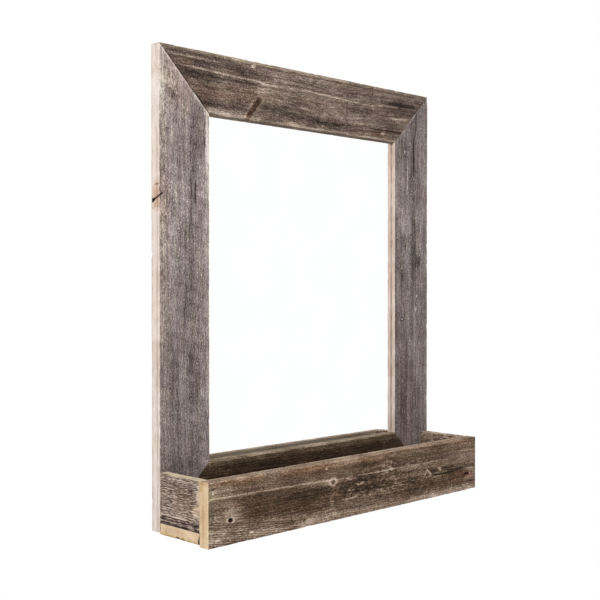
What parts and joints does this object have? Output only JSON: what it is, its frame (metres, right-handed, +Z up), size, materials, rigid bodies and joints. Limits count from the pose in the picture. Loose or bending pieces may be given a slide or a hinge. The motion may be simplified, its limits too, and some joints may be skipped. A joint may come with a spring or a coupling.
{
  "type": "mirror with shelf",
  "caption": "Wall mirror in a mitred frame of weathered boards, with an open-topped wooden box across its foot as a shelf, hung by D-rings on its back.",
  "frame": {"origin": "on the wall plane and the centre line, at the height of the wall hooks, which is the wall face of the middle bumper on the top rail", "axes": "+X to the right as one faces the mirror, +Y back into the wall (the mirror faces -Y), +Z up"},
  "size_m": [0.59, 0.13, 0.6815],
  "materials": {
    "stile_wood": "raw weathered, grey",
    "rail_wood": "raw weathered, brown grey",
    "box_wood": "raw weathered, brown",
    "end_wood": "raw weathered, ridged",
    "mirror_glass": "polished",
    "hardboard": "smooth hardboard",
    "bright_steel": "drawn wire, slightly dull",
    "zinc_steel": "zinc plated",
    "ring_steel": "nickel plated wire",
    "yellow_zinc": "yellow zinc plated steel",
    "bumper_rubber": "soft matt"
  },
  "bodies": {
    "mirror_frame": {"stile_left": "stile_wood", "stile_right": "stile_wood", "rail_top": "rail_wood", "rail_bottom": "rail_wood", "mitre_v_nails": "bright_steel", "mirror_pane": "mirror_glass", "hardboard_back": "hardboard", "glazing_points": "bright_steel", "hanger_strap_left": "zinc_steel", "hanger_strap_right": "zinc_steel", "hanger_screws": "zinc_steel", "wall_bumpers": "bumper_rubber", "box_front_board": "box_wood", "box_end_left": "end_wood", "box_end_right": "end_wood", "box_bottom_board": "box_wood", "front_wire_nail": "bright_steel", "front_brads": "bright_steel", "bottom_brads": "bright_steel", "box_screws": "yellow_zinc"},
    "ring_left": {"hanger_ring_left": "ring_steel"},
    "ring_right": {"hanger_ring_right": "ring_steel"}
  },
  "joints": [
    {"name": "ring_left_swing", "type": "hinge", "parent": "mirror_frame", "child": "ring_left", "pos_m": [-0.25525, -0.00342, -0.0135], "axis": [-1, 0, 0], "range_deg": [0, 170]},
    {"name": "ring_right_swing", "type": "hinge", "parent": "mirror_frame", "child": "ring_right", "pos_m": [0.25525, -0.00342, -0.0135], "axis": [-1, 0, 0], "range_deg": [0, 170]}
  ]
}
